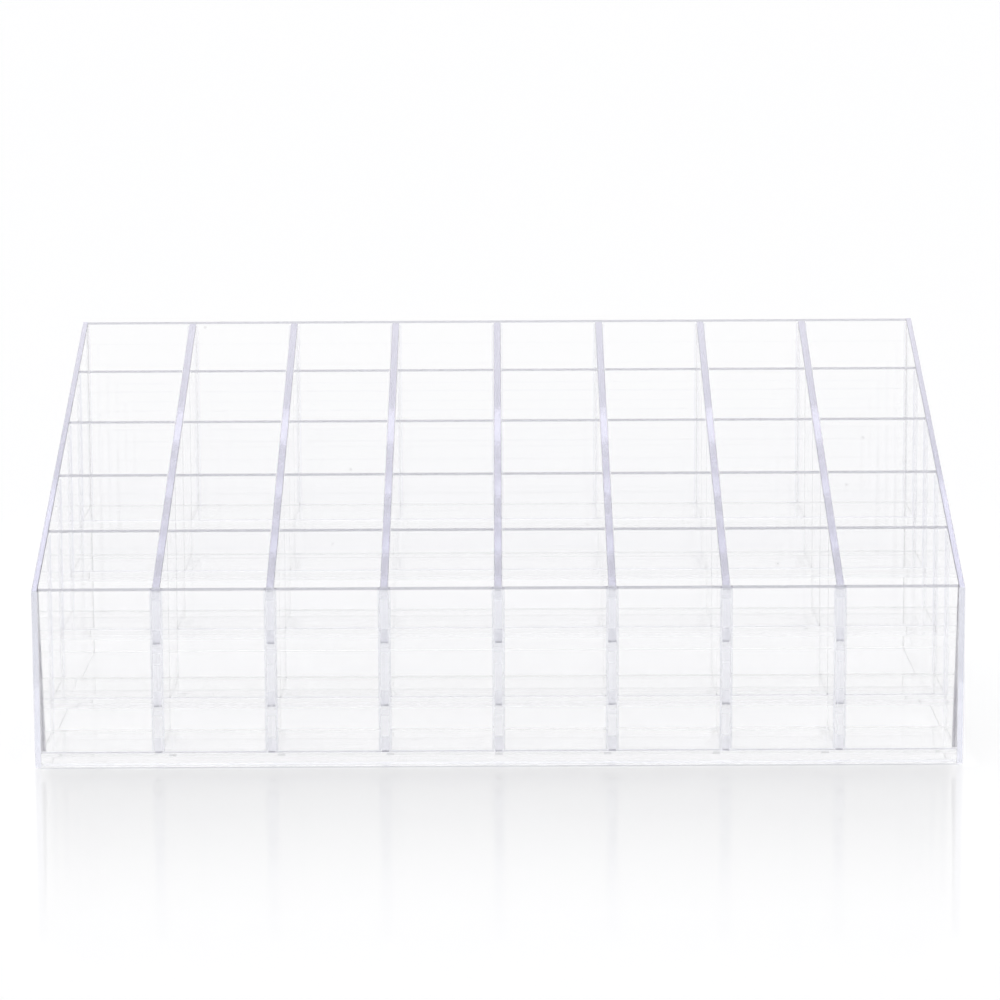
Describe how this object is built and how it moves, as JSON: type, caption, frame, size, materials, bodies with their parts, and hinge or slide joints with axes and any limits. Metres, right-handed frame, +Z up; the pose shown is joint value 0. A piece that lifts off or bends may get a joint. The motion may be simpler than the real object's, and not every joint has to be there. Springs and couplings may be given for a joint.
{
  "type": "vanity organizer",
  "caption": "Clear stepped countertop stand with a sloping top and a grid of upright compartments for cosmetic tubes, made of bonded acrylic sheets.",
  "frame": {"origin": "on the table, under the middle of the stand", "axes": "+X to the right seen from the front, +Y towards the tall back, +Z up"},
  "size_m": [0.188, 0.1162, 0.076],
  "materials": {
    "clear_panel": "polished clear acrylic sheet",
    "clear_floor": "polished clear acrylic sheet",
    "clear_divider": "polished clear acrylic sheet with faintly lavender edges"
  },
  "bodies": {
    "root": {"left_side_panel": "clear_panel", "right_side_panel": "clear_panel", "front_panel": "clear_panel", "back_panel": "clear_panel", "floor_row_1": "clear_floor", "floor_row_2": "clear_floor", "floor_row_3": "clear_floor", "floor_row_4": "clear_floor", "floor_row_5": "clear_floor", "row_divider_1": "clear_divider", "row_divider_2": "clear_divider", "row_divider_3": "clear_divider", "row_divider_4": "clear_divider", "column_divider_1": "clear_divider", "column_divider_2": "clear_divider", "column_divider_3": "clear_divider", "column_divider_4": "clear_divider", "column_divider_5": "clear_divider", "column_divider_6": "clear_divider", "column_divider_7": "clear_divider"}
  },
  "joints": []
}
